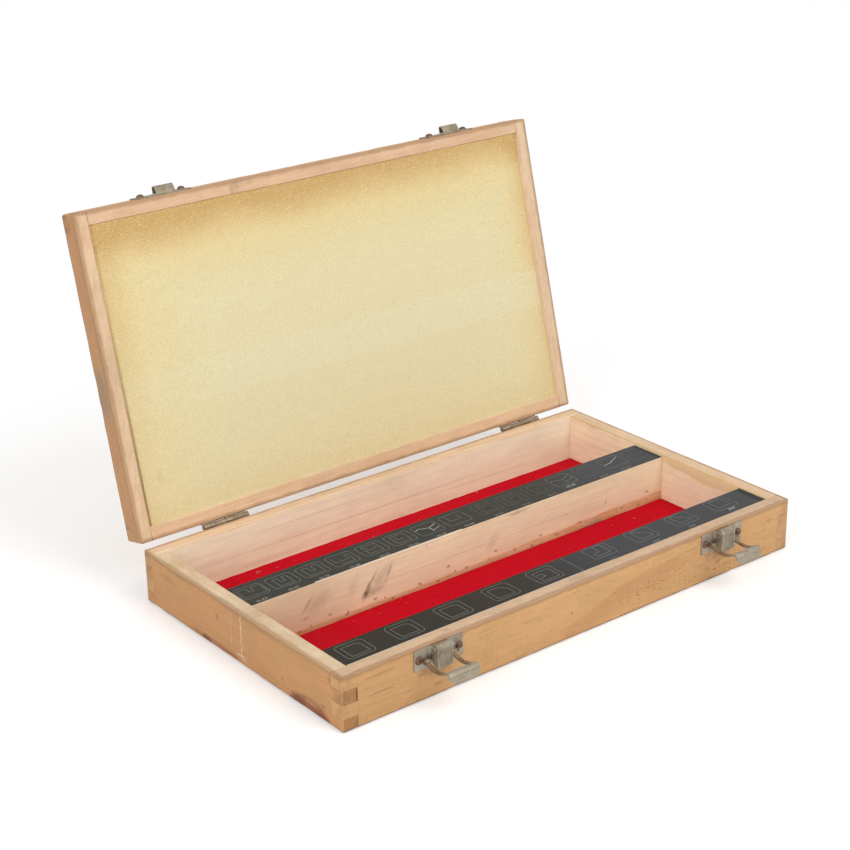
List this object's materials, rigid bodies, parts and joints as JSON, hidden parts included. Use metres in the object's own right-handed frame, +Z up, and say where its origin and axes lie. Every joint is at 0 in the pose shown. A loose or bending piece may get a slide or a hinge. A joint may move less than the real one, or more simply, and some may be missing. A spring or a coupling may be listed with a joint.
{
  "type": "micrometer case",
  "caption": "Shallow hinged wooden instrument case with a foam-lined lid, divided felt-lined base and toggle latches.",
  "frame": {"origin": "centre of the underside of the base", "axes": "+X along the length, to the right seen from the latches; +Y from the latches towards the hinges; +Z up"},
  "size_m": [0.42, 0.3546, 0.2847],
  "materials": {
    "pine": "worn thin clear lacquer",
    "plywood": "worn thin clear lacquer",
    "printed_strip": "satin print with pale outlines",
    "red_felt": "short-nap felt",
    "foam": "open-cell foam, yellowed",
    "plated_steel": "dulled nickel plate with tarnish",
    "hinge_metal": "tarnished bronze-coloured plate",
    "rusty_screws": "rusted"
  },
  "bodies": {
    "base": {"base_front_wall": "pine", "base_rear_wall": "pine", "base_left_wall": "pine", "base_right_wall": "pine", "base_bottom_panel": "plywood", "divider_block": "pine", "divider_brads": "rusty_screws", "front_ledge": "pine", "divider_label_strip": "printed_strip", "front_label_strip": "printed_strip", "rear_floor_felt": "red_felt", "front_floor_felt": "red_felt", "left_hinge_base_leaf": "hinge_metal", "right_hinge_base_leaf": "hinge_metal", "left_hinge_pin": "hinge_metal", "right_hinge_pin": "hinge_metal", "hinge_base_screws": "rusty_screws", "left_latch_plate": "plated_steel", "right_latch_plate": "plated_steel", "left_lever_pin": "plated_steel", "right_lever_pin": "plated_steel", "latch_plate_screws": "rusty_screws"},
    "lid": {"lid_front_rail": "pine", "lid_rear_rail": "pine", "lid_left_stile": "pine", "lid_right_stile": "pine", "lid_panel": "plywood", "lid_foam": "foam", "left_hinge_lid_leaf": "hinge_metal", "right_hinge_lid_leaf": "hinge_metal", "hinge_lid_screws": "rusty_screws", "left_keeper": "plated_steel", "right_keeper": "plated_steel", "keeper_screws": "rusty_screws"},
    "left_lever": {"left_latch_lever": "plated_steel", "left_bail_pin": "plated_steel"},
    "right_lever": {"right_latch_lever": "plated_steel", "right_bail_pin": "plated_steel"},
    "left_bail": {"left_latch_bail": "plated_steel"},
    "right_bail": {"right_latch_bail": "plated_steel"}
  },
  "joints": [
    {"name": "lid_hinge", "type": "hinge", "parent": "base", "child": "lid", "pos_m": [0, 0.1243, 0.041], "axis": [-1, 0, 0], "range_deg": [-104, 0]},
    {"name": "left_lever_pivot", "type": "hinge", "parent": "base", "child": "left_lever", "pos_m": [-0.1315, -0.1265, 0.0382], "axis": [-1, 0, 0], "range_deg": [0, 120]},
    {"name": "left_bail_pivot", "type": "hinge", "parent": "left_lever", "child": "left_bail", "pos_m": [-0.1315, -0.1248, 0.0305], "axis": [1, 0, 0], "range_deg": [-90, 0]},
    {"name": "right_lever_pivot", "type": "hinge", "parent": "base", "child": "right_lever", "pos_m": [0.1355, -0.1265, 0.0382], "axis": [-1, 0, 0], "range_deg": [0, 120]},
    {"name": "right_bail_pivot", "type": "hinge", "parent": "right_lever", "child": "right_bail", "pos_m": [0.1355, -0.1248, 0.0305], "axis": [1, 0, 0], "range_deg": [-90, 0]}
  ]
}
